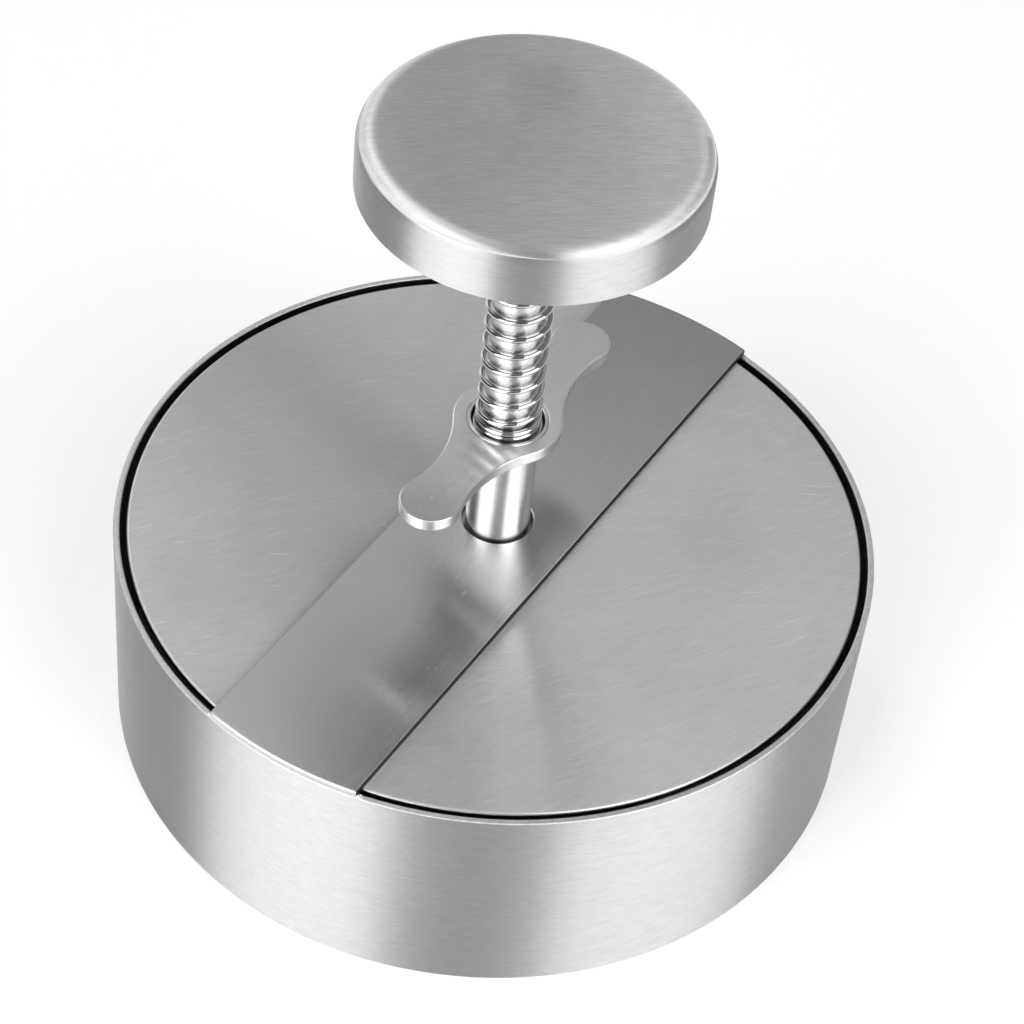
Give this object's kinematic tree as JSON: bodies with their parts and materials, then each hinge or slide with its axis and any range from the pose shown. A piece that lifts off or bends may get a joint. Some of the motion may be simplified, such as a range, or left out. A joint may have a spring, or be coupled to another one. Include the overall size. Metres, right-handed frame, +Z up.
{
  "type": "burger press",
  "caption": "Round steel press for patties: open ring mould, bar across its top, plunger with disc, palm knob, sprung winged depth stop.",
  "frame": {"origin": "centre of the ring's lower edge, on the surface that the press stands on", "axes": "+Z up along the plunger, X along the cross bar and the wing"},
  "size_m": [0.12, 0.12, 0.1151],
  "materials": {
    "ring_steel": "stainless sheet, brushed round the wall",
    "bar_steel": "stainless sheet, fine straight brushing with light scratches",
    "plate_steel": "stainless sheet, fine straight brushing with light scratches",
    "wing_steel": "satin face, polished cut edge",
    "knob_steel": "satin, brushed across the top and round the side",
    "sleeve_steel": "mirror polished, faint turning marks",
    "polished_steel": "mirror polished rod",
    "spring_steel": "bright drawn wire",
    "turned_steel": "turned, fine ring marks"
  },
  "bodies": {
    "frame": {"ring": "ring_steel", "cross_bar": "bar_steel"},
    "spring_seat": {"spring_washer": "turned_steel", "spring": "spring_steel"},
    "depth_stop": {"sleeve": "sleeve_steel", "wing": "wing_steel"},
    "plunger": {"press_plate": "plate_steel", "spindle": "polished_steel", "knob_boss": "turned_steel", "knob_base": "turned_steel", "knob_cap": "knob_steel"}
  },
  "joints": [
    {"name": "press", "type": "slide", "parent": "frame", "child": "spring_seat", "axis": [0, 0, -1], "range_m": [0, 0.0197]},
    {"name": "stop_turn", "type": "hinge", "parent": "spring_seat", "child": "depth_stop", "pos_m": [0, 0, 0.05], "axis": [0, 0, 1], "range_deg": [0, 2880]},
    {"name": "stop_feed", "type": "slide", "parent": "spring_seat", "child": "plunger", "axis": [0, 0, -1], "range_m": [0, 0.01], "deforming": ["spring"]}
  ],
  "couplings": [
    {"joint": "stop_turn", "follows": "stop_feed", "rad_per_m": 5026.5}
  ]
}
